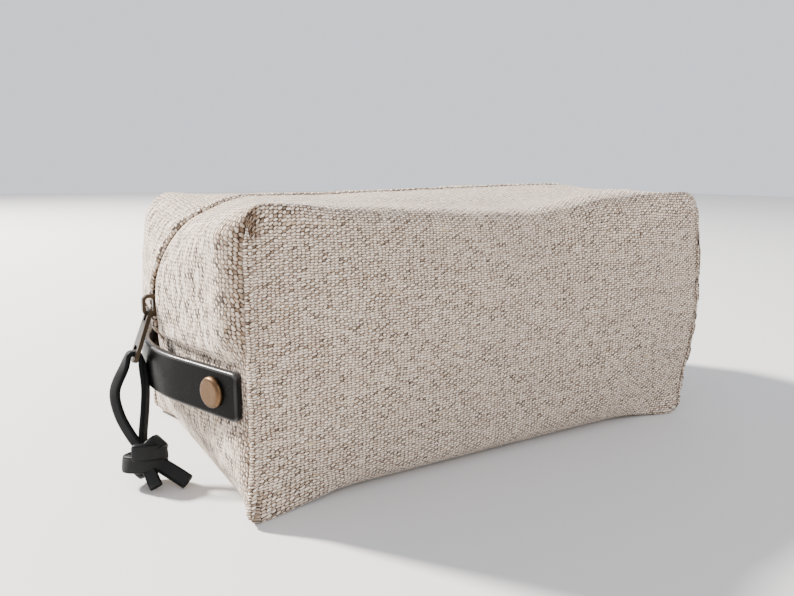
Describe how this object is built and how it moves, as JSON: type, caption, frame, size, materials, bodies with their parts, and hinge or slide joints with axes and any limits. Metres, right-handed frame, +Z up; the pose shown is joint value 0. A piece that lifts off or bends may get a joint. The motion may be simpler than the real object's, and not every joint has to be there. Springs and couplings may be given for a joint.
{
  "type": "shaving kit bag",
  "caption": "Boxy woven-cloth wash bag with a zip over the top and down both ends, riveted leather end straps and a knotted leather cord on the zip pull.",
  "frame": {"origin": "on the floor, at the centre of the base", "axes": "+X along the bag's length with the zip slider resting at the -X end, -Y towards the front face, +Z up"},
  "size_m": [0.2532, 0.117, 0.1],
  "materials": {
    "outer_cloth": "heavy natural basket weave",
    "interlining": "stiff non-woven felt",
    "lining": "plain fine weave",
    "zip_tape": "dark brown herringbone tape",
    "zip_teeth": "antiqued",
    "antique_brass": "antiqued, worn bright on edges",
    "rivet_brass": "antiqued, domed cap",
    "strap_leather": "black bridle leather with burnished edges",
    "cord_leather": "black lace, suede on its outer face"
  },
  "bodies": {
    "bag": {"outer_front_panel": "outer_cloth", "outer_rear_panel": "outer_cloth", "interlining_front": "interlining", "interlining_rear": "interlining", "lining_front": "lining", "lining_rear": "lining", "front_tape_ends": "zip_tape", "rear_tape_ends": "zip_tape", "front_teeth_left": "zip_teeth", "rear_teeth_left": "zip_teeth", "front_teeth_right": "zip_teeth", "rear_teeth_right": "zip_teeth", "top_stops": "antique_brass", "bottom_stop": "antique_brass", "left_strap": "strap_leather", "right_strap": "strap_leather", "rivet_fronts": "rivet_brass", "rivet_backs": "rivet_brass"},
    "front_lip": {"outer_front_lip": "outer_cloth", "interlining_front_lip": "interlining", "lining_front_lip": "lining", "front_tape_top": "zip_tape", "front_teeth_top": "zip_teeth"},
    "rear_lip": {"outer_rear_lip": "outer_cloth", "interlining_rear_lip": "interlining", "lining_rear_lip": "lining", "rear_tape_top": "zip_tape", "rear_teeth_top": "zip_teeth"},
    "slider": {"slider_body": "antique_brass", "slider_crown": "antique_brass"},
    "pull": {"pull_tab": "antique_brass"},
    "cord": {"pull_cord": "cord_leather"}
  },
  "joints": [
    {"name": "mouth_open", "type": "hinge", "parent": "bag", "child": "front_lip", "pos_m": [0, -0.0495, 0.0993], "axis": [1, 0, 0], "range_deg": [0, 60]},
    {"name": "rear_lip_open", "type": "hinge", "parent": "bag", "child": "rear_lip", "pos_m": [0, 0.0495, 0.0993], "axis": [-1, 0, 0], "range_deg": [0, 60]},
    {"name": "slider_turn", "type": "hinge", "parent": "bag", "child": "slider", "pos_m": [-0.081, 0, 0.064], "axis": [0, -1, 0], "range_deg": [-90, 0], "deforming": ["front_teeth_left", "rear_teeth_left"]},
    {"name": "pull_swing", "type": "hinge", "parent": "slider", "child": "pull", "pos_m": [-0.11845, 0, 0.0596], "axis": [0, 1, 0], "range_deg": [0, 110]},
    {"name": "cord_swing", "type": "hinge", "parent": "pull", "child": "cord", "pos_m": [-0.12478, 0, 0.04222], "axis": [0, 1, 0], "range_deg": [0, 60]}
  ],
  "couplings": [
    {"joint": "rear_lip_open", "follows": "mouth_open", "ratio": 1}
  ]
}
